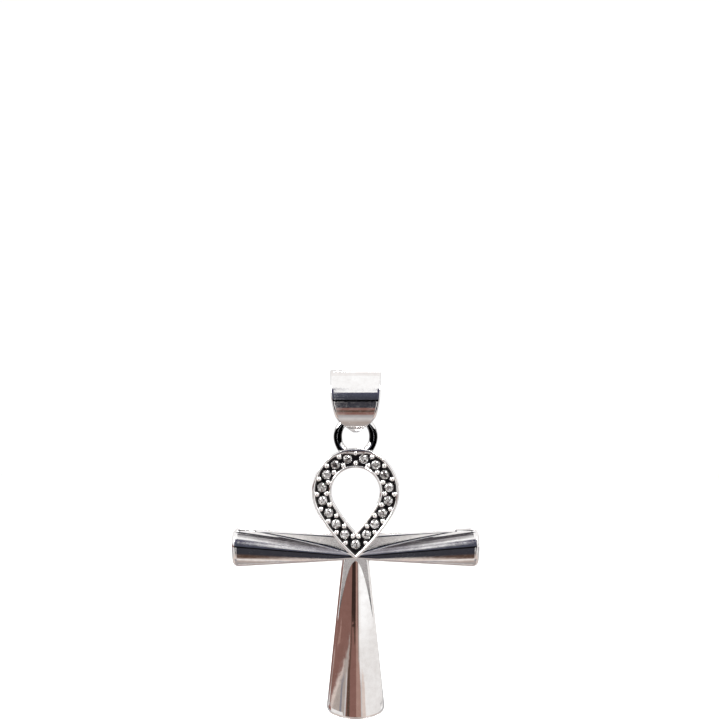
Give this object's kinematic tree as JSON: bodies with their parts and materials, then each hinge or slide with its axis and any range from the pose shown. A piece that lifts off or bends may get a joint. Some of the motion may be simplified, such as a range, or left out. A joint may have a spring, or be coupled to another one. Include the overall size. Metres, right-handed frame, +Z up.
{
  "type": "ankh pendant on a bail",
  "caption": "Flared cross with a stone-set teardrop loop, hanging by a soldered eyelet from a tapered strip bail that a chain passes through.",
  "frame": {"origin": "middle of the bail's inner top, where a chain bears, with the pendant hanging below it", "axes": "+Z up, +X to the wearer's left as seen from the front, the front faces -Y"},
  "size_m": [0.0362, 0.0068, 0.0511],
  "materials": {
    "cast_silver": "polished cast silver",
    "strip_silver": "polished silver strip",
    "clear_stone": "faceted and polished"
  },
  "bodies": {
    "bail": {"bail": "strip_silver"},
    "ankh": {"ankh": "cast_silver", "stone_01": "clear_stone", "stone_02": "clear_stone", "stone_03": "clear_stone", "stone_04": "clear_stone", "stone_05": "clear_stone", "stone_06": "clear_stone", "stone_07": "clear_stone", "stone_08": "clear_stone", "stone_09": "clear_stone", "stone_10": "clear_stone", "stone_11": "clear_stone", "stone_12": "clear_stone", "stone_13": "clear_stone", "stone_14": "clear_stone", "stone_15": "clear_stone", "stone_16": "clear_stone", "stone_17": "clear_stone"}
  },
  "joints": [
    {"name": "pendant_swing", "type": "hinge", "parent": "bail", "child": "ankh", "pos_m": [0, 0, -0.0068], "axis": [1, 0, 0], "range_deg": [-35, 35]}
  ]
}
